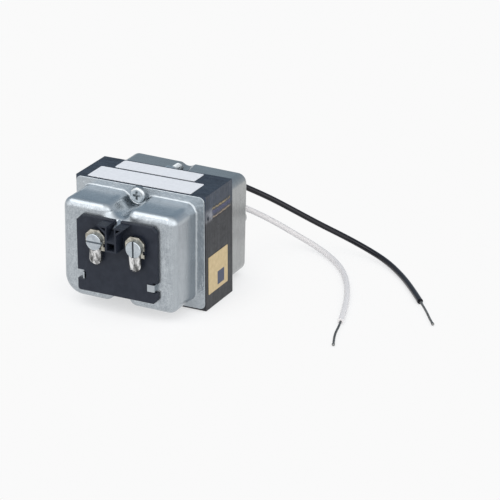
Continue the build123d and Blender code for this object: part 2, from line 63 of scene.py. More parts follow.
# The camera stands right of and above the terminal side, as the photographer did.
# The long lens keeps the core's edges almost parallel.
camera_place = (0.56803, -1.02439, 0.50618)
camera_tilt = math.radians(67.52)
camera_swing = math.radians(26.56)
camera_data = bpy.data.cameras.new("product_camera")
camera_data.sensor_width = 36.0
camera_data.lens = 172.8
camera_data.clip_start = 0.1
camera_data.clip_end = 20.0
camera = bpy.data.objects.new("product_camera", camera_data)
camera.location = camera_place
camera.rotation_euler = (camera_tilt, 0.0, camera_swing)
scene.collection.objects.link(camera)
scene.camera = camera

# The part stands on a pale sweep of paper that runs on without an edge behind it.
# Camera and mirror rays see it as near white, and it still takes the part's soft shadow.
paper_size = 8.0
paper_drop = 0.0003
paper_colour = (0.86, 0.86, 0.87, 1.0)
studio_white = (0.955, 0.955, 0.955, 1.0)
shade_reach = 0.035


def plain_material(name):
    """A new material, with its list of nodes and its list of links."""
    material = bpy.data.materials.new(name)
    material.use_nodes = True
    return material, material.node_tree.nodes, material.node_tree.links


def add(nodes, kind, place=(0, 0), **settings):
    """One shader node, with its settings and its sockets' plain values."""
    node = nodes.new(kind)
    node.location = place
    for key, value in settings.items():
        if key in node.inputs:
            node.inputs[key].default_value = value
        else:
            setattr(node, key, value)
    return node


def map_range(nodes, links, value, from_min, from_max, to_min=0.0, to_max=1.0, place=(-600, 0)):
    """Value carried from one range to another, held at its ends."""
    node = add(nodes, "ShaderNodeMapRange", place)
    limits = (("From Min", from_min), ("From Max", from_max), ("To Min", to_min), ("To Max", to_max))
    for key, number in limits:
        node.inputs[key].default_value = number
    links.new(value, node.inputs["Value"])
    return node.outputs["Result"]


bpy.ops.mesh.primitive_plane_add(size=paper_size, location=(0.0, 0.0, -paper_drop))
sweep = bpy.context.active_object
sweep.name = "paper_sweep"
paper, nodes, links = plain_material("paper_sweep")
nodes.clear()
output = add(nodes, "ShaderNodeOutputMaterial", (600, 0))
matte = add(nodes, "ShaderNodeBsdfDiffuse", (0, 100), Color=paper_colour)
glow = add(nodes, "ShaderNodeEmission", (0, -100), Color=studio_white, Strength=1.0)
contact = add(nodes, "ShaderNodeAmbientOcclusion", (-400, -100), Distance=shade_reach, samples=8)
contact_fade = map_range(nodes, links, contact.outputs["AO"], 0.35, 0.95, 0.55, 1.0, (-200, -100))
seen = add(nodes, "ShaderNodeLightPath", (-200, 400))
sharp = add(nodes, "ShaderNodeMath", (0, 400), operation="MAXIMUM")
share = add(nodes, "ShaderNodeMath", (200, 300), operation="MULTIPLY")
blend = add(nodes, "ShaderNodeMixShader", (400, 0))
links.new(seen.outputs["Is Camera Ray"], sharp.inputs[0])
links.new(seen.outputs["Is Glossy Ray"], sharp.inputs[1])
links.new(sharp.outputs[0], share.inputs[0])
links.new(contact_fade, share.inputs[1])
links.new(share.outputs[0], blend.inputs[0])
links.new(matte.outputs[0], blend.inputs[1])
links.new(glow.outputs[0], blend.inputs[2])
links.new(blend.outputs[0], output.inputs["Surface"])
sweep.data.materials.append(paper)
sweep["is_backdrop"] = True

# A white studio surrounds the part, bright in front and above, with a darker blue-grey wall low
# behind it on the left. The metal's level faces mirror that wall, and its front edges the white.
dark_wall = (-0.35, 0.85, 0.39)
room_strength = 1.95
room_tones = [
    (0.00, (0.20, 0.245, 0.285, 1.0)),
    (0.08, (0.22, 0.260, 0.300, 1.0)),
    (0.24, (0.33, 0.355, 0.38, 1.0)),
    (0.38, (0.50, 0.51, 0.52, 1.0)),
    (0.56, (0.86, 0.86, 0.86, 1.0)),
    (0.70, (1.00, 1.00, 1.00, 1.0)),
]


def ramp(nodes, links, factor, stops, place=(-300, 0)):
    """Colour ramp with the given (position, colour) stops."""
    node = add(nodes, "ShaderNodeValToRGB", place)
    elements = node.color_ramp.elements
    elements[0].position, elements[0].color = stops[0]
    elements[1].position, elements[1].color = stops[-1]
    for position, colour in stops[1:-1]:
        elements.new(position).color = colour
    links.new(factor, node.inputs[0])
    return node.outputs[0]


world = bpy.data.worlds.new("studio")
scene.world = world
world.use_nodes = True
nodes, links = world.node_tree.nodes, world.node_tree.links
nodes.clear()
world_output = add(nodes, "ShaderNodeOutputWorld", (600, 0))
backdrop = add(nodes, "ShaderNodeBackground", (200, 100), Color=studio_white, Strength=1.0)
room = add(nodes, "ShaderNodeBackground", (200, -100), Strength=room_strength)
direction = add(nodes, "ShaderNodeTexCoord", (-800, -100))
facing = add(nodes, "ShaderNodeVectorMath", (-600, -100), operation="DOT_PRODUCT")
facing.inputs[1].default_value = Vector(dark_wall).normalized()
turned_away = map_range(nodes, links, facing.outputs["Value"], 1.0, -1.0, place=(-400, -100))
seen = add(nodes, "ShaderNodeLightPath", (0, 400))
blend = add(nodes, "ShaderNodeMixShader", (400, 0))
links.new(direction.outputs["Generated"], facing.inputs[0])
links.new(ramp(nodes, links, turned_away, room_tones, (-200, -100)), room.inputs["Color"])
links.new(seen.outputs["Is Camera Ray"], blend.inputs[0])
links.new(room.outputs[0], blend.inputs[1])
links.new(backdrop.outputs[0], blend.inputs[2])
links.new(blend.outputs[0], world_output.inputs["Surface"])


def softbox(name, place, width, depth, power):
    """A rectangular lamp that faces the middle of the part."""
    lamp_data = bpy.data.lights.new(name, "AREA")
    lamp_data.shape = "RECTANGLE"
    lamp_data.size = width
    lamp_data.size_y = depth
    lamp_data.energy = power
    lamp = bpy.data.objects.new(name, lamp_data)
    lamp.location = place
    to_part = Vector((0.0, 0.0, 0.03)) - Vector(place)
    lamp.rotation_euler = to_part.to_track_quat("-Z", "Y").to_euler()
    scene.collection.objects.link(lamp)


softbox("key_softbox", place=(-0.60, -0.55, 1.15), width=0.90, depth=0.70, power=2.6)
softbox("right_softbox", place=(1.10, -0.35, 0.60), width=0.60, depth=0.80, power=0.8)

# Black and white line leads: stranded copper in extruded PVC, 3.2 mm over the insulation.
# They droop out of the rear shell's bushings, swing round to the right and lie on the table.
lead_diameter = 0.0032
black_vinyl = ((0.003, 0.003, 0.006, 1), (0.006, 0.006, 0.010, 1))
white_vinyl = ((0.62, 0.60, 0.60, 1), (0.66, 0.64, 0.64, 1))
black_route = [
    (0.010, 0.0421, 0.0455),
    (0.010, 0.0496, 0.0455),
    (0.0104, 0.0556, 0.0449),
    (0.012, 0.0612, 0.0426),
    (0.0158, 0.0678, 0.0384),
    (0.022, 0.074, 0.0336),
    (0.0305, 0.0802, 0.0278),
    (0.0412, 0.086, 0.0207),
    (0.054, 0.0902, 0.0138),
    (0.068, 0.0922, 0.0084),
    (0.0825, 0.0902, 0.0045),
    (0.0968, 0.0836, 0.0025),
    (0.110, 0.0723, 0.0016),
    (0.1225, 0.058, 0.0016),
    (0.1338, 0.0432, 0.0016),
]
white_route = [
    (0.010, 0.0421, 0.0355),
    (0.010, 0.0496, 0.0355),
    (0.0098, 0.0557, 0.0349),
    (0.0094, 0.0615, 0.033),
    (0.010, 0.068, 0.0285),
    (0.0135, 0.0743, 0.0229),
    (0.0208, 0.0807, 0.0177),
    (0.0308, 0.0853, 0.0117),
    (0.0425, 0.0866, 0.0062),
    (0.055, 0.0842, 0.0029),
    (0.0668, 0.077, 0.0016),
    (0.0778, 0.0662, 0.0016),
    (0.0873, 0.0523, 0.0016),
    (0.0953, 0.0362, 0.0016),
    (0.102, 0.0188, 0.0016),
    (0.1072, 0.0013, 0.0016),
]


def round_lead(name, route, diameter):
    """A smooth round lead that follows the route's points."""
    curve = bpy.data.curves.new(name, "CURVE")
    curve.dimensions = "3D"
    spline = curve.splines.new("NURBS")
    spline.points.add(len(route) - 1)
    for point, place in zip(spline.points, route):
        point.co = (*place, 1.0)
    spline.order_u = 3
    spline.use_endpoint_u = True
    spline.resolution_u = 10
    curve.bevel_depth = diameter / 2
    curve.bevel_resolution = 6
    curve.use_fill_caps = True
    lead = bpy.data.objects.new(name, curve)
    scene.collection.objects.link(lead)
    return lead


def fine_speckle_group():
    """Soft noise, as a value that runs from Low to High and as the plain height."""
    group = bpy.data.node_groups.new("fine_speckle", "ShaderNodeTree")
    group.interface.new_socket("Vector", in_out="INPUT", socket_type="NodeSocketVector")
    for name, value in (("Scale", 800.0), ("Low", 0.3), ("High", 0.5)):
        socket = group.interface.new_socket(name, in_out="INPUT", socket_type="NodeSocketFloat")
        socket.default_value = value
    group.interface.new_socket("Value", in_out="OUTPUT", socket_type="NodeSocketFloat")
    group.interface.new_socket("Height", in_out="OUTPUT", socket_type="NodeSocketFloat")
    nodes, links = group.nodes, group.links
    entry = add(nodes, "NodeGroupInput", (-800, 0))
    leave = add(nodes, "NodeGroupOutput", (400, 0))
    noise = add(nodes, "ShaderNodeTexNoise", (-400, 0), Detail=5.0, Roughness=0.6)
    stretch = add(nodes, "ShaderNodeMapRange", (0, 0))
    stretch.inputs["From Min"].default_value = 0.3
    stretch.inputs["From Max"].default_value = 0.7
    links.new(entry.outputs["Vector"], noise.inputs["Vector"])
    links.new(entry.outputs["Scale"], noise.inputs["Scale"])
    links.new(noise.outputs[0], stretch.inputs["Value"])
    links.new(entry.outputs["Low"], stretch.inputs["To Min"])
    links.new(entry.outputs["High"], stretch.inputs["To Max"])
    links.new(stretch.outputs["Result"], leave.inputs["Value"])
    links.new(noise.outputs[0], leave.inputs["Height"])
    return group


fine_speckle = fine_speckle_group()


def speckle(nodes, links, vector, scale, low, high, place=(-400, 0)):
    """The speckle group at one scale, with its value running from low to high."""
    node = add(nodes, "ShaderNodeGroup", place, node_tree=fine_speckle)
    node.inputs["Scale"].default_value = scale
    node.inputs["Low"].default_value = low
    node.inputs["High"].default_value = high
    links.new(vector, node.inputs["Vector"])
    return node


def mix_colour(nodes, links, factor, first, second, place=(-200, 0)):
    """Colour mix; factor and both colours may be a socket or plain values."""
    node = add(nodes, "ShaderNodeMix", place, data_type="RGBA")
    for socket, value in ((node.inputs[0], factor), (node.inputs[6], first), (node.inputs[7], second)):
        if isinstance(value, bpy.types.NodeSocket):
            links.new(value, socket)
        else:
            socket.default_value = value
    return node.outputs[2]


def dress(material, *names):
    """Gives CAD nodes a material."""
    for name in names:
        cad_nodes[name].data.materials.clear()
        cad_nodes[name].data.materials.append(material)


def lead_insulation(name, tones, roughness, specular):
    """Extruded PVC: faint mottling and a slightly waxy gloss."""
    material, nodes, links = plain_material(name)
    bsdf = nodes["Principled BSDF"]
    bsdf.inputs["Specular IOR Level"].default_value = specular
    place = add(nodes, "ShaderNodeTexCoord", (-900, 0)).outputs["Object"]
    mottle = speckle(nodes, links, place, 160.0, 0.0, 1.0)
    links.new(mix_colour(nodes, links, mottle.outputs["Value"], *tones), bsdf.inputs["Base Color"])
    wax = speckle(nodes, links, place, 120.0, roughness - 0.04, roughness + 0.04, (-400, -200))
    links.new(wax.outputs["Value"], bsdf.inputs["Roughness"])
    return material


black_insulation = lead_insulation("black_insulation", black_vinyl, roughness=0.16, specular=0.30)
white_insulation = lead_insulation("white_insulation", white_vinyl, roughness=0.34, specular=0.45)
dress(black_insulation, "inner_lead_black")
dress(white_insulation, "inner_lead_white")

black_lead = round_lead("black_line_lead", black_route, lead_diameter)
black_lead.data.materials.append(black_insulation)
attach(black_lead, "root")
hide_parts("black_lead")

white_lead = round_lead("white_line_lead", white_route, lead_diameter)
white_lead.data.materials.append(white_insulation)
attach(white_lead, "root")
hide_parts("white_lead")

# Bare ends: the strands twisted together past the insulation and dipped in solder,
# which leaves a small bead at the tip.
strand_count = 7
strand_sides = 8
strand_diameter = 0.00046
strand_lay = 0.98
twist_pitch = 0.009
tip_radius = 0.00085
tip_stretch = 1.45
tinned_tones = ((0.10, 0.10, 0.10, 1), (0.30, 0.30, 0.29, 1))
bare_routes = {
    "black": [
        (0.1338, 0.0432, 0.0016),
        (0.13775, 0.03803, 0.0016),
        (0.1429, 0.031, 0.0014),
        (0.1472, 0.0246, 0.0011),
        (0.1501, 0.0209, 0.0010),
    ],
    "white": [
        (0.1072, 0.0013, 0.0016),
        (0.10891, -0.00445, 0.0016),
        (0.1106, -0.0126, 0.0014),
        (0.113, -0.0196, 0.0011),
        (0.1151, -0.0246, 0.0010),
    ],
}


def bump(nodes, links, bsdf, height, strength, distance, place=(-150, -300)):
    """Bump from a height on the shader's normal, on top of one that is already there."""
    node = add(nodes, "ShaderNodeBump", place, Strength=strength, Distance=distance)
    links.new(height, node.inputs["Height"])
    if bsdf.inputs["Normal"].links:
        links.new(bsdf.inputs["Normal"].links[0].from_socket, node.inputs["Normal"])
    links.new(node.outputs[0], bsdf.inputs["Normal"])


def tinned_copper_material():
    """Tinned strands, bright where the solder ran thick and duller between the strands."""
    material, nodes, links = plain_material("tinned_copper")
    bsdf = nodes["Principled BSDF"]
    bsdf.inputs["Metallic"].default_value = 1.0
    place = add(nodes, "ShaderNodeTexCoord", (-900, 0)).outputs["Object"]
    run = speckle(nodes, links, place, 900.0, 0.0, 1.0)
    links.new(mix_colour(nodes, links, run.outputs["Value"], *tinned_tones), bsdf.inputs["Base Color"])
    gloss = speckle(nodes, links, place, 2200.0, 0.22, 0.45, (-400, -200))
    links.new(gloss.outputs["Value"], bsdf.inputs["Roughness"])
    bump(nodes, links, bsdf, run.outputs["Height"], 0.3, 0.0001)
    return material


tinned_copper = tinned_copper_material()


def centreline(route):
    """Points of the smooth line that a lead with this route follows."""
    guide = round_lead("guide", route, 0.0)
    guide.data.bevel_depth = 0.0
    mesh = bpy.data.meshes.new_from_object(guide.evaluated_get(bpy.context.evaluated_depsgraph_get()))
    points = [v.co.copy() for v in mesh.vertices]
    bpy.data.meshes.remove(mesh)
    bpy.data.objects.remove(guide)
    return points


def twisted_end(name, route):
    """Mesh of strands laid in a helix round the route's line, closed at both ends."""
    line = centreline(route)
    mesh = bmesh.new()
    for strand in range(strand_count):
        rings = []
        travelled = 0.0
        for index, point in enumerate(line):
            ahead = line[min(index + 1, len(line) - 1)]
            behind = line[max(index - 1, 0)]
            along = (ahead - behind).normalized()
            side = along.cross(Vector((0, 0, 1))).normalized()
            up = side.cross(along)
            if index:
                travelled += (point - line[index - 1]).length
            angle = 2 * math.pi * travelled / twist_pitch + 2 * math.pi * strand / (strand_count - 1)
            offset = 0.0 if strand == strand_count - 1 else strand_diameter * strand_lay
            middle = point + side * math.cos(angle) * offset + up * math.sin(angle) * offset
            ring = []
            for corner in range(strand_sides):
                turn = 2 * math.pi * corner / strand_sides
                spoke = side * math.cos(turn) + up * math.sin(turn)
                ring.append(mesh.verts.new(middle + spoke * strand_diameter / 2))
            rings.append(ring)
        for first, second in zip(rings, rings[1:]):
            for corner in range(strand_sides):
                following = (corner + 1) % strand_sides
                mesh.faces.new((first[corner], first[following], second[following], second[corner]))
        mesh.faces.new(rings[0][::-1])
        mesh.faces.new(rings[-1])
    bmesh.ops.recalc_face_normals(mesh, faces=mesh.faces)
    data = bpy.data.meshes.new(name)
    mesh.to_mesh(data)
    mesh.free()
    data.shade_smooth()
    end = bpy.data.objects.new(name, data)
    scene.collection.objects.link(end)
    return end, line


def solder_bead(name, place, along):
    """Bead at the strands' tip, a drop drawn out along the wire."""
    bpy.ops.object.select_all(action="DESELECT")
    bpy.ops.mesh.primitive_uv_sphere_add(segments=20, ring_count=12, radius=tip_radius, location=place)
    bead = bpy.context.active_object
    bead.name = name
    bead.scale = (1.0, 1.0, tip_stretch)
    bead.rotation_euler = Vector((0, 0, 1)).rotation_difference(along).to_euler()
    bpy.ops.object.transform_apply(location=True, rotation=True, scale=True)
    bpy.ops.object.shade_smooth()
    return bead


for colour in ("black", "white"):
    strands, line = twisted_end(colour + "_bare_strands", bare_routes[colour])
    strands.data.materials.append(tinned_copper)
    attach(strands, "root")
    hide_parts(colour + "_lead_bare_end")
    bead = solder_bead(colour + "_tip_bead", line[-1], (line[-1] - line[-3]).normalized())
    bead.data.materials.append(tinned_copper)
    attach(bead, "root")

# Laminated core: E and I stampings of silicon steel, stacked thirty millimetres deep and
# varnished black. The sheet edges show as fine lines on the sides, top and bottom. The weld's heat
# left straw lines and a blue-violet band across each side, and grey scale at the band's front end.
lamination_pitch = 0.00047
weld_low, weld_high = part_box("weld_bead_right")
weld_height = (weld_low[2] + weld_high[2]) / 2
side_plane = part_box("core_e_laminations")[1][0]
top_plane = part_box("core_i_laminations")[1][2]
top_varnish_painted_shade = ((0.009, 0.014, 0.026, 1), (0.018, 0.027, 0.043, 1))
upper_varnish = ((0.018, 0.026, 0.041, 1), (0.036, 0.047, 0.068, 1))
lower_varnish = ((0.015, 0.016, 0.019, 1), (0.027, 0.028, 0.032, 1))
varnish_edge = (weld_height - 0.0014, weld_height + 0.0012)
heat_height = weld_height + 0.0014
heat_half_width = 0.0040
heat_wander = 0.0007
heat_front = (-0.0085, -0.0065)
heat_rear = (0.0128, 0.0112)
heat_tones = [
    (0.00, (0.034, 0.034, 0.038, 1)),
    (0.11, (0.012, 0.011, 0.012, 1)),
    (0.15, (0.10, 0.08, 0.06, 1)),
    (0.20, (0.40, 0.30, 0.20, 1)),
    (0.26, (0.12, 0.10, 0.09, 1)),
    (0.33, (0.040, 0.042, 0.055, 1)),
    (0.42, (0.062, 0.066, 0.11, 1)),
    (0.57, (0.090, 0.092, 0.165, 1)),
    (0.66, (0.040, 0.044, 0.060, 1)),
    (0.74, (0.10, 0.08, 0.06, 1)),
    (0.79, (0.42, 0.32, 0.15, 1)),
    (0.85, (0.09, 0.07, 0.04, 1)),
    (0.90, (0.008, 0.009, 0.012, 1)),
    (1.00, (0.034, 0.044, 0.062, 1)),
]
ash_grey = (0.20, 0.205, 0.225, 1)
ash_front = (-0.0062, -0.0084)
ash_foot = (weld_height - 0.0030, weld_height - 0.0012)
ash_crest = (weld_height + 0.0054, weld_height + 0.0034)


def calculate(nodes, links, operation, first, second=None, place=(-500, 0)):
    """One math node; each input may be a socket or a number."""
    node = add(nodes, "ShaderNodeMath", place, operation=operation)
    for socket, value in zip(node.inputs, (first, second)):
        if isinstance(value, bpy.types.NodeSocket):
            links.new(value, socket)
        elif value is not None:
            socket.default_value = value
    return node.outputs[0]


def product(nodes, links, first, *others):
    """All the sockets or numbers multiplied together."""
    for other in others:
        first = calculate(nodes, links, "MULTIPLY", first, other)
    return first


def scaled_place(nodes, links, vector, scale, place=(-800, 0)):
    """Coordinates stretched by one factor along each axis."""
    node = add(nodes, "ShaderNodeMapping", place)
    node.inputs["Scale"].default_value = scale
    links.new(vector, node.inputs["Vector"])
    return node.outputs[0]


def core_varnish_material(name):
    """Blue-black above the weld, where the varnish pooled, and dark grey with sheet edges below; the top face
    has painted shade and reflection, darker and bluer.
    """
    material, nodes, links = plain_material(name)
    bsdf = nodes["Principled BSDF"]
    bsdf.inputs["Specular IOR Level"].default_value = 0.22
    place = add(nodes, "ShaderNodeTexCoord", (-1600, 0)).outputs["Object"]
    axes = add(nodes, "ShaderNodeSeparateXYZ", (-1400, 0))
    links.new(place, axes.inputs[0])
    along, height = axes.outputs["Y"], axes.outputs["Z"]
    sheets = add(nodes, "ShaderNodeTexNoise", (-900, -300), Scale=1.0, Detail=2.0, Roughness=0.7)
    stacked = scaled_place(nodes, links, place, (12.0, 1 / lamination_pitch, 12.0))
    links.new(stacked, sheets.inputs["Vector"])
    blotch = speckle(nodes, links, place, 110.0, 0.0, 1.0, (-900, 200)).outputs["Value"]
    lower = mix_colour(nodes, links, blotch, *lower_varnish)
    upper = mix_colour(nodes, links, blotch, *upper_varnish)
    varnish = mix_colour(nodes, links, map_range(nodes, links, height, *varnish_edge), lower, upper)
    # Painted shade and reflection: the top face gets its own darker, bluer tones.
    on_top = calculate(nodes, links, "GREATER_THAN", height, top_plane - 0.0001)
    varnish = mix_colour(nodes, links, on_top, varnish, mix_colour(nodes, links, blotch, *top_varnish_painted_shade))
    contrast = map_range(nodes, links, sheets.outputs[0], 0.35, 0.65, 0.62, 1.34)
    lined = add(nodes, "ShaderNodeVectorMath", (-100, 200), operation="SCALE")
    links.new(varnish, lined.inputs[0])
    links.new(contrast, lined.inputs["Scale"])
    outward = calculate(nodes, links, "ABSOLUTE", axes.outputs["X"])
    side = calculate(nodes, links, "GREATER_THAN", outward, side_plane - 0.0002)
    # Grey scale that ran out of the weld's front end
    flaky = speckle(nodes, links, place, 300.0, 0.0, 1.1, (-900, 1300)).outputs["Value"]
    ashy = product(nodes, links, map_range(nodes, links, along, *ash_front), side,
                   map_range(nodes, links, height, *ash_foot),
                   map_range(nodes, links, height, *ash_crest), flaky)
    base = mix_colour(nodes, links, ashy, lined.outputs[0], ash_grey)
    # Heat tint that wanders up and down a little and breaks off in places
    drifting = scaled_place(nodes, links, place, (1.0, 1.0, 0.4))
    wander = speckle(nodes, links, drifting, 520.0, -heat_wander, heat_wander, (-900, 900))
    rise = calculate(nodes, links, "SUBTRACT", height, heat_height)
    rise = calculate(nodes, links, "ADD", rise, wander.outputs["Value"])
    band = map_range(nodes, links, rise, -heat_half_width, heat_half_width)
    inside = calculate(nodes, links, "COMPARE", band, 0.5)
    inside.node.inputs[2].default_value = 0.48
    smoke = speckle(nodes, links, place, 560.0, -0.10, 1.70, (-900, 1100)).outputs["Value"]
    where = product(nodes, links, inside, side, map_range(nodes, links, along, *heat_front),
                    map_range(nodes, links, along, *heat_rear), map_range(nodes, links, smoke, 0.0, 1.0))
    tint = ramp(nodes, links, band, heat_tones)
    links.new(mix_colour(nodes, links, where, base, tint), bsdf.inputs["Base Color"])
    links.new(calculate(nodes, links, "MULTIPLY", where, 0.5), bsdf.inputs["Metallic"])
    gloss = speckle(nodes, links, place, 420.0, 0.26, 0.46, (-500, -600))
    links.new(gloss.outputs["Value"], bsdf.inputs["Roughness"])
    bump(nodes, links, bsdf, sheets.outputs[0], 0.55, 0.00022)
    bump(nodes, links, bsdf, gloss.outputs["Height"], 0.25, 0.00012)
    return material


dress(core_varnish_material("core_varnish"), "core_e_laminations", "core_i_laminations")

# Weld beads: one run along each side where the E and I stacks meet, laid in overlapping ripples.
# The arc's heat tinted the steel on both sides of it, and the bead carries the same colours.
ripple_pitch = 0.0008
ripple_rise = 1.10
end_thickness = 0.6
end_width = 0.8
weld_metal = core_varnish_material("weld_metal")
dress(weld_metal, "weld_bead_left", "weld_bead_right")


def pick_vertices(piece, wanted):
    """Enters edit mode with only those vertices selected whose place passes the test."""
    bpy.ops.object.mode_set(mode="EDIT")
    bpy.ops.mesh.select_mode(type="VERT")
    bpy.ops.mesh.select_all(action="DESELECT")
    bpy.ops.object.mode_set(mode="OBJECT")
    for vertex in piece.data.vertices:
        vertex.select = wanted(piece.location + vertex.co)
    bpy.ops.object.mode_set(mode="EDIT")


def settle(piece, name):
    """Leaves edit mode and puts the piece's place into its mesh."""
    bpy.ops.object.mode_set(mode="OBJECT")
    bpy.ops.object.transform_apply(location=True, rotation=True, scale=True)
    bpy.ops.object.shade_smooth_by_angle(angle=math.radians(40))
    piece.name = name
    piece.data.name = name


for side, name in ((-1, "left"), (1, "right")):
    low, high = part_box("weld_bead_" + name)
    middle = Vector((side * side_plane, (low[1] + high[1]) / 2, (low[2] + high[2]) / 2))
    half_width = (high[2] - low[2]) / 2
    proud = max(high[0] - side_plane, -side_plane - low[0])
    length = high[1] - low[1]
    bpy.ops.object.select_all(action="DESELECT")
    bpy.ops.mesh.primitive_cylinder_add(vertices=32, radius=half_width, depth=length)
    bead = bpy.context.active_object
    bead.rotation_euler = (math.radians(90), 0.0, 0.0)
    bpy.ops.object.transform_apply(location=False, rotation=True, scale=False)
    bead.location = middle
    bpy.ops.object.mode_set(mode="EDIT")
    bpy.ops.mesh.select_mode(type="EDGE")
    bpy.ops.mesh.select_all(action="DESELECT")
    bpy.ops.object.mode_set(mode="OBJECT")
    corners = bead.data.vertices
    for edge in bead.data.edges:
        first, second = (corners[index].co for index in edge.vertices)
        edge.select = abs(first.y - second.y) > length / 2
    bpy.ops.object.mode_set(mode="EDIT")
    ripples = 2 * round(length / ripple_pitch)
    bpy.ops.mesh.subdivide(number_cuts=ripples - 1)
    ring_gap = length / ripples
    pick_vertices(bead, lambda v: round((v.y - low[1]) / ring_gap) % 2 == 1)
    bpy.ops.transform.resize(value=(1.0 / ripple_rise, 1.0, 1.0), center_override=middle)
    pick_vertices(bead, lambda v: min(v.y - low[1], high[1] - v.y) < ring_gap / 2)
    bpy.ops.transform.resize(value=(end_thickness, 1.0, end_width), center_override=middle)
    bpy.ops.mesh.select_all(action="SELECT")
    bpy.ops.transform.resize(value=(proud / half_width, 1.0, 1.0), center_override=middle)
    bpy.ops.mesh.bisect(plane_co=middle, plane_no=(side, 0, 0), use_fill=True, clear_inner=True)
    settle(bead, "weld_run_" + name)
    bead.data.materials.append(weld_metal)
    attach(bead, "root")
    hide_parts("weld_bead_" + name)

# Zinc-plated deep-drawn shells, one each side of the core. The flat faces keep a mottled, scratched spangle,
# the walls carry drawing lines and small puckers at the foot, grime lies here and there, and painted shade
# darkens the flange and the foot of the walls.
front_face, front_foot = -0.0384, -0.0150
rear_face, rear_foot = 0.0404, 0.0150
front_zinc = ((0.31, 0.34, 0.37, 1), (0.51, 0.55, 0.58, 1))
rear_zinc = ((0.27, 0.28, 0.28, 1), (0.46, 0.47, 0.47, 1))
front_grime_and_shade = (0.13, 0.16, 0.18, 1)
rear_grime_and_shade = (0.17, 0.18, 0.17, 1)


def weighted_sum(nodes, links, start, *parts):
    """A start value plus each (socket, share) pair's product."""
    for socket, part_share in parts:
        start = calculate(nodes, links, "ADD", start, product(nodes, links, socket, part_share))
    return start


def distance_from(nodes, links, value, plane):
    """How far a coordinate is from a plane, on either side."""
    return calculate(nodes, links, "ABSOLUTE", calculate(nodes, links, "SUBTRACT", value, plane))


def zinc_steel_material(name, tones, grime_and_shade, face_y, foot_y):
    """Zinc over drawn steel; face_y is the cup's flat face and foot_y the flange's plane."""
    material, nodes, links = plain_material(name)
    bsdf = nodes["Principled BSDF"]
    bsdf.inputs["Metallic"].default_value = 1.0
    place = add(nodes, "ShaderNodeTexCoord", (-1600, 0)).outputs["Object"]
    axes = add(nodes, "ShaderNodeSeparateXYZ", (-1400, 0))
    links.new(place, axes.inputs[0])
    depth = axes.outputs["Y"]
    upright = scaled_place(nodes, links, place, (1.0, 1.0, 0.12))
    drawn_in = scaled_place(nodes, links, place, (0.09, 1.0, 0.09))
    gathered = scaled_place(nodes, links, place, (1.0, 0.35, 1.0))
    mottle = speckle(nodes, links, place, 300.0, 0.0, 1.0, (-1000, 200)).outputs["Value"]
    frost = speckle(nodes, links, place, 1500.0, 0.0, 1.0, (-1000, 0)).outputs["Value"]
    scratches = speckle(nodes, links, upright, 1500.0, 0.0, 1.0, (-1000, -150)).outputs["Value"]
    streaks = speckle(nodes, links, drawn_in, 900.0, 0.0, 1.0, (-1000, -300))
    pucker = speckle(nodes, links, gathered, 210.0, 0.0, 1.0, (-1000, -700))
    off_face = distance_from(nodes, links, depth, face_y)
    off_foot = distance_from(nodes, links, depth, foot_y)
    on_face = map_range(nodes, links, off_face, 0.0003, 0.0013, 1.0, 0.0)
    at_foot = map_range(nodes, links, off_foot, 0.0014, 0.0044, 1.0, 0.0)
    spangle = product(nodes, links, mottle, 0.26)
    spangle = weighted_sum(nodes, links, spangle, (frost, 0.50), (scratches, 0.24))
    spangle = map_range(nodes, links, spangle, 0.26, 0.74)
    drawn = product(nodes, links, streaks.outputs["Value"], 0.30)
    drawn = calculate(nodes, links, "ADD", weighted_sum(nodes, links, drawn, (mottle, 0.16)), 0.30)
    pattern = add(nodes, "ShaderNodeMix", (-500, 200))
    links.new(on_face, pattern.inputs[0])
    links.new(drawn, pattern.inputs[2])
    links.new(spangle, pattern.inputs[3])
    zinc = mix_colour(nodes, links, pattern.outputs[0], *tones)
    # Grime in cloudy patches; near the flange's plane it is deepened, which paints shade onto the flange and
    # into the crease at the foot of the walls
    cloud = speckle(nodes, links, place, 70.0, 0.0, 1.0, (-1000, 700)).outputs["Value"]
    fleck = speckle(nodes, links, place, 620.0, 0.0, 1.0, (-1000, 900)).outputs["Value"]
    grime_and_foot_shade = map_range(nodes, links, product(nodes, links, cloud, fleck), 0.40, 0.85, 0.0, 0.34)
    # Painted shade: the grime share rises near the flange's plane and the foot of the walls.
    grime_and_foot_shade = product(nodes, links, grime_and_foot_shade, map_range(nodes, links, at_foot, 0.0, 1.0, 0.5, 1.4))
    links.new(mix_colour(nodes, links, grime_and_foot_shade, zinc, grime_and_shade), bsdf.inputs["Base Color"])
    gloss = map_range(nodes, links, pattern.outputs[0], 0.1, 0.9, 0.31, 0.21)
    links.new(weighted_sum(nodes, links, gloss, (on_face, 0.06)), bsdf.inputs["Roughness"])
    bump(nodes, links, bsdf, product(nodes, links, spangle, on_face), 0.16, 0.00016)
    bump(nodes, links, bsdf, streaks.outputs["Height"], 0.14, 0.00012)
    bump(nodes, links, bsdf, product(nodes, links, pucker.outputs["Height"], at_foot), 0.7, 0.0010)
    return material


dress(zinc_steel_material("zinc_steel_front", front_zinc, front_grime_and_shade, front_face, front_foot), "front_shell")
dress(zinc_steel_material("zinc_steel_rear", rear_zinc, rear_grime_and_shade, rear_face, rear_foot), "rear_shell")

# Moulded black phenolic board with its hollow barrier, hooked under the shell's three tabs.
# The moulding is satin and slightly bluish, and the lead bushings are dressed like it.
phenolic_tones = ((0.009, 0.012, 0.020, 1), (0.016, 0.020, 0.030, 1))


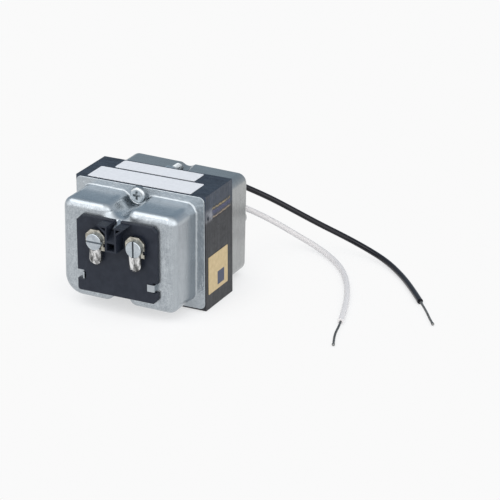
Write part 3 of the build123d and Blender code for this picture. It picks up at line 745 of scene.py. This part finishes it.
def phenolic_material():
    """Black moulding with a bluish satin surface."""
    material, nodes, links = plain_material("board_phenolic")
    bsdf = nodes["Principled BSDF"]
    bsdf.inputs["Specular IOR Level"].default_value = 0.23
    place = add(nodes, "ShaderNodeTexCoord", (-1400, 0)).outputs["Object"]
    cloud = speckle(nodes, links, place, 260.0, 0.0, 1.0, (-900, 100)).outputs["Value"]
    grit = speckle(nodes, links, place, 3200.0, 0.36, 0.52, (-900, -200))
    links.new(mix_colour(nodes, links, cloud, *phenolic_tones), bsdf.inputs["Base Color"])
    links.new(grit.outputs["Value"], bsdf.inputs["Roughness"])
    bump(nodes, links, bsdf, grit.outputs["Height"], 0.18, 0.0001)
    return material


dress(phenolic_material(), "terminal_board", "lead_bushing_black", "lead_bushing_white")

# Terminal plates, binding screws, long screws and nuts: stamped or headed metal, plated.
# The plating is bright with fine wipe marks, warmer on the plates than on the steel screws.
# Painted shade darkens the screws' heads behind their rims, in the slots and crosses and under the heads.
brass_tones = ((0.19, 0.18, 0.15, 1), (0.68, 0.66, 0.59, 1))
nickel_tones = ((0.38, 0.42, 0.46, 1), (0.56, 0.61, 0.65, 1))
nut_tones = ((0.34, 0.37, 0.39, 1), (0.58, 0.61, 0.63, 1))
head_tones = ((0.40, 0.43, 0.45, 1), (0.62, 0.65, 0.67, 1))
binding_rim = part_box("terminal_screw_left")[0][1]
pan_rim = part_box("mounting_screw_top")[0][1] + 0.0004


def plated_material(name, tones, low, high, scale=1400.0, rim=None, painted_shade_share=0.6):
    """Plated metal, rough from low to high; behind rim, a plane along Y, painted shade darkens it to a share
    of its darker tone, given last.
    """
    material, nodes, links = plain_material(name)
    bsdf = nodes["Principled BSDF"]
    bsdf.inputs["Metallic"].default_value = 1.0
    place = add(nodes, "ShaderNodeTexCoord", (-1400, 0)).outputs["Object"]
    cloud = speckle(nodes, links, place, scale / 4, 0.0, 1.0, (-900, 100)).outputs["Value"]
    wiped = scaled_place(nodes, links, place, (1.0, 1.0, 0.25))
    wipe = speckle(nodes, links, wiped, scale, low, high, (-900, -200))
    colour = mix_colour(nodes, links, cloud, *tones)
    if rim is not None:
        # Painted shade: behind the rim, in slots, crosses and under heads, the colour darkens.
        axes = add(nodes, "ShaderNodeSeparateXYZ", (-1200, 300))
        links.new(place, axes.inputs[0])
        in_painted_shade = map_range(nodes, links, axes.outputs["Y"], rim + 0.00015, rim + 0.0006)
        painted_shade_colour = tuple(painted_shade_share * part for part in tones[0][:3]) + (1.0,)
        colour = mix_colour(nodes, links, in_painted_shade, colour, painted_shade_colour)
    links.new(colour, bsdf.inputs["Base Color"])
    links.new(wipe.outputs["Value"], bsdf.inputs["Roughness"])
    bump(nodes, links, bsdf, wipe.outputs["Height"], 0.10, 0.0001)
    return material


nickel_brass = plated_material("nickel_brass", brass_tones, 0.12, 0.26, scale=2200.0)
nickel_steel = plated_material("nickel_steel", nickel_tones, 0.15, 0.30, rim=binding_rim)
zinc_screw = plated_material("zinc_screw", nut_tones, 0.18, 0.34)
zinc_head = plated_material("zinc_head", head_tones, 0.16, 0.30, rim=pan_rim, painted_shade_share=0.72)
dress(nickel_brass, "terminal_plate_left", "terminal_plate_right")
dress(nickel_steel, "terminal_screw_left", "terminal_screw_right")
dress(zinc_screw, "mounting_nut_top", "mounting_nut_bottom")
dress(zinc_head, "mounting_screw_top", "mounting_screw_bottom")

# Rolled thread on the rear end of each long screw, thirty-two turns to the inch.
# Each is one ridge run round the shank, up to the screw's point.
thread_pitch = 0.000794
thread_length = 0.018
thread_run_out = 0.0012
thread_root = 0.00012
ridge_radius = thread_pitch * 0.46
shank_radius = 0.0024

for name in ("top", "bottom"):
    low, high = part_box("mounting_screw_" + name)
    start = (0.0, high[1] - thread_length, (low[2] + high[2]) / 2)
    bpy.ops.object.select_all(action="DESELECT")
    bpy.ops.mesh.primitive_circle_add(vertices=3, radius=ridge_radius, location=start)
    thread = bpy.context.active_object
    bpy.ops.object.mode_set(mode="EDIT")
    bpy.ops.transform.rotate(value=math.radians(90), orient_axis="Z", center_override=start)
    bpy.ops.transform.translate(value=(shank_radius - thread_root, 0.0, 0.0))
    bpy.ops.object.mode_set(mode="OBJECT")
    helix = thread.modifiers.new("helix", "SCREW")
    helix.axis = "Y"
    helix.screw_offset = thread_pitch
    helix.iterations = int((thread_length - thread_run_out) / thread_pitch)
    helix.steps = 24
    helix.render_steps = 24
    bpy.ops.object.modifier_apply(modifier="helix")
    bpy.ops.object.mode_set(mode="EDIT")
    bpy.ops.mesh.select_all(action="SELECT")
    bpy.ops.mesh.remove_doubles(threshold=0.000001)
    bpy.ops.mesh.normals_make_consistent(inside=False)
    settle(thread, "screw_thread_" + name)
    thread.data.materials.append(zinc_screw)
    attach(thread, "root")

# Solder: a mound run over each plate's tongue and round its edges, up to the screw's head.
# It froze with a smooth dimpled skin; its colour carries painted reflections in dark and bright streaks.
tongue_half_width = 0.00335
solder_lap = 0.0001
solder_overhang = 0.0006
solder_under_head = 0.0040
solder_depth = 0.00195
solder_sunk = 0.0007
dimple_size = 0.0026
dimple_depth = 0.0009
head_clearance = 0.00004
cutter_depth = 0.004
cutter_offset = 0.0012
solder_reflection_tones = [
    (0.20, (0.08, 0.08, 0.08, 1)),
    (0.42, (0.22, 0.22, 0.22, 1)),
    (0.55, (0.38, 0.38, 0.38, 1)),
    (0.78, (0.80, 0.80, 0.80, 1)),
]


def solder_material():
    """Solder whose colour carries painted reflections: dark and bright streaks, stretched upright."""
    material, nodes, links = plain_material("solder")
    bsdf = nodes["Principled BSDF"]
    bsdf.inputs["Metallic"].default_value = 1.0
    place = add(nodes, "ShaderNodeTexCoord", (-1400, 0)).outputs["Object"]
    drawn_out = scaled_place(nodes, links, place, (1.0, 1.0, 0.42))
    # Painted reflections: noise streaks run from near black to bright in the base colour.
    reflection_streaks = speckle(nodes, links, drawn_out, 430.0, 0.0, 1.0, (-900, 100))
    links.new(ramp(nodes, links, reflection_streaks.outputs["Value"], solder_reflection_tones), bsdf.inputs["Base Color"])
    gloss = speckle(nodes, links, place, 900.0, 0.10, 0.24, (-900, -200))
    links.new(gloss.outputs["Value"], bsdf.inputs["Roughness"])
    bump(nodes, links, bsdf, reflection_streaks.outputs["Height"], 0.4, 0.0003)
    return material


solder_metal = solder_material()
dress(solder_metal, "terminal_solder_left", "terminal_solder_right")
solder_skin = bpy.data.textures.new("solder_skin", "CLOUDS")
solder_skin.noise_scale = dimple_size

for name in ("left", "right"):
    low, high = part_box("terminal_solder_" + name)
    radius = tongue_half_width + solder_lap
    plate_face = high[1]
    foot = low[2] - solder_overhang
    crest = high[2] + solder_under_head
    centre = Vector(((low[0] + high[0]) / 2, plate_face, foot + radius))
    bpy.ops.object.select_all(action="DESELECT")
    bpy.ops.mesh.primitive_uv_sphere_add(segments=64, ring_count=48, radius=radius, location=centre)
    mound = bpy.context.active_object
    pick_vertices(mound, lambda v: v.z > centre.z + 0.00001)
    bpy.ops.transform.translate(value=(0.0, 0.0, crest - foot - 2 * radius))
    bpy.ops.mesh.select_all(action="SELECT")
    bpy.ops.transform.resize(value=(1.0, solder_depth / radius, 1.0), center_override=centre)
    back = centre + Vector((0.0, solder_sunk, 0.0))
    bpy.ops.mesh.bisect(plane_co=back, plane_no=(0, 1, 0), use_fill=True, clear_outer=True)
    bpy.ops.object.mode_set(mode="OBJECT")
    head_low, head_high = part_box("terminal_screw_" + name)
    head_radius = (head_high[0] - head_low[0]) / 2 + head_clearance
    head_middle = (centre.x, plate_face - cutter_offset, (head_low[2] + head_high[2]) / 2)
    bpy.ops.mesh.primitive_cylinder_add(vertices=96, radius=head_radius, depth=cutter_depth,
                                        location=head_middle, rotation=(math.radians(90), 0.0, 0.0))
    head_cutter = bpy.context.active_object
    under_head = mound.modifiers.new("under_head", "BOOLEAN")
    under_head.operation = "DIFFERENCE"
    under_head.object = head_cutter
    bpy.context.view_layer.objects.active = mound
    bpy.ops.object.modifier_apply(modifier="under_head")
    bpy.data.objects.remove(head_cutter)
    bpy.ops.object.select_all(action="DESELECT")
    mound.select_set(True)
    dimples = mound.modifiers.new("dimples", "DISPLACE")
    dimples.texture = solder_skin
    dimples.texture_coords = "GLOBAL"
    dimples.strength = dimple_depth
    bpy.ops.object.modifier_apply(modifier="dimples")
    settle(mound, "solder_mound_" + name)
    mound.data.materials.append(solder_metal)
    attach(mound, "root")
    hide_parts("terminal_solder_" + name)


# Coil inside the shells: nylon bobbin, enamelled wire wound in layers, polyester tape,
# grey fish-paper cards, and the sleeved wires and splices that lead out of it.
nylon_tones = ((0.62, 0.60, 0.52, 1), (0.74, 0.72, 0.63, 1))
enamel_tones = ((0.30, 0.10, 0.03, 1), (0.62, 0.26, 0.09, 1))
tape_tones = ((0.58, 0.44, 0.09, 1), (0.70, 0.55, 0.14, 1))
card_tones = ((0.22, 0.24, 0.21, 1), (0.32, 0.34, 0.29, 1))
splice_tones = ((0.03, 0.03, 0.03, 1), (0.06, 0.06, 0.06, 1))
sleeving_tones = ((0.50, 0.43, 0.20, 1), (0.66, 0.58, 0.32, 1))


def plain_finish(name, tones, roughness, scale=300.0, stretch=(1.0, 1.0, 1.0), metallic=0.0, depth=0.0001):
    """Two mottled tones, with the mottling stretched along each axis and raised by depth."""
    material, nodes, links = plain_material(name)
    bsdf = nodes["Principled BSDF"]
    bsdf.inputs["Metallic"].default_value = metallic
    place = add(nodes, "ShaderNodeTexCoord", (-1400, 0)).outputs["Object"]
    laid = scaled_place(nodes, links, place, stretch)
    cloud = speckle(nodes, links, laid, scale, 0.0, 1.0, (-900, 100))
    matt = speckle(nodes, links, place, scale * 4, roughness - 0.07, roughness + 0.07, (-900, -200))
    links.new(mix_colour(nodes, links, cloud.outputs["Value"], *tones), bsdf.inputs["Base Color"])
    links.new(matt.outputs["Value"], bsdf.inputs["Roughness"])
    bump(nodes, links, bsdf, cloud.outputs["Height"], 0.25, depth)
    return material


dress(plain_finish("bobbin_nylon", nylon_tones, 0.45), "coil_bobbin")
dress(plain_finish("magnet_wire", enamel_tones, 0.32, scale=60.0, stretch=(1.0, 1.0, 30.0), metallic=0.9,
                   depth=0.0003), "primary_winding", "secondary_winding")
dress(plain_finish("coil_tape", tape_tones, 0.38, scale=200.0, stretch=(1.0, 1.0, 6.0)),
      "primary_tape", "secondary_tape")
dress(plain_finish("fish_paper", card_tones, 0.7, scale=900.0),
      "front_insulating_card", "rear_insulating_card")
dress(plain_finish("splice_sleeve", splice_tones, 0.5, scale=700.0),
      "lead_splice_black", "lead_splice_white")
dress(plain_finish("glass_sleeving", sleeving_tones, 0.5, scale=1500.0),
      "secondary_wire_left", "secondary_wire_right")

# Labels: two blank white film labels on the top of the core, and a tan foil label with a
# plain dark field on its right side, all stuck over the varnish.
film_tones = ((0.62, 0.63, 0.66, 1), (0.68, 0.69, 0.72, 1))
foil_tones = ((0.44, 0.33, 0.17, 1), (0.54, 0.42, 0.23, 1))
field_colour = (0.035, 0.045, 0.085, 1)
field_middle = (0.00135, 0.01405)
field_half_size = (0.0038, 0.0037)
dress(plain_finish("white_film", film_tones, 0.42, scale=500.0), "top_label_front", "top_label_rear")


def foil_label_material():
    """Satin tan foil with one plain rectangle in a dark colour."""
    material, nodes, links = plain_material("tan_foil")
    bsdf = nodes["Principled BSDF"]
    bsdf.inputs["Metallic"].default_value = 0.15
    place = add(nodes, "ShaderNodeTexCoord", (-1400, 0)).outputs["Object"]
    axes = add(nodes, "ShaderNodeSeparateXYZ", (-1200, 0))
    links.new(place, axes.inputs[0])
    cloud = speckle(nodes, links, place, 420.0, 0.0, 1.0, (-900, 100)).outputs["Value"]
    tan = mix_colour(nodes, links, cloud, *foil_tones)
    across = calculate(nodes, links, "COMPARE", axes.outputs["Y"], field_middle[0])
    across.node.inputs[2].default_value = field_half_size[0]
    up = calculate(nodes, links, "COMPARE", axes.outputs["Z"], field_middle[1])
    up.node.inputs[2].default_value = field_half_size[1]
    field = product(nodes, links, across, up)
    links.new(mix_colour(nodes, links, field, tan, field_colour), bsdf.inputs["Base Color"])
    satin = speckle(nodes, links, place, 1600.0, 0.34, 0.50, (-900, -200))
    links.new(satin.outputs["Value"], bsdf.inputs["Roughness"])
    bump(nodes, links, bsdf, satin.outputs["Height"], 0.08, 0.0001)
    return material


dress(foil_label_material(), "side_label")

# The finished part's box, over every shown piece but the backdrop.
low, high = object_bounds()
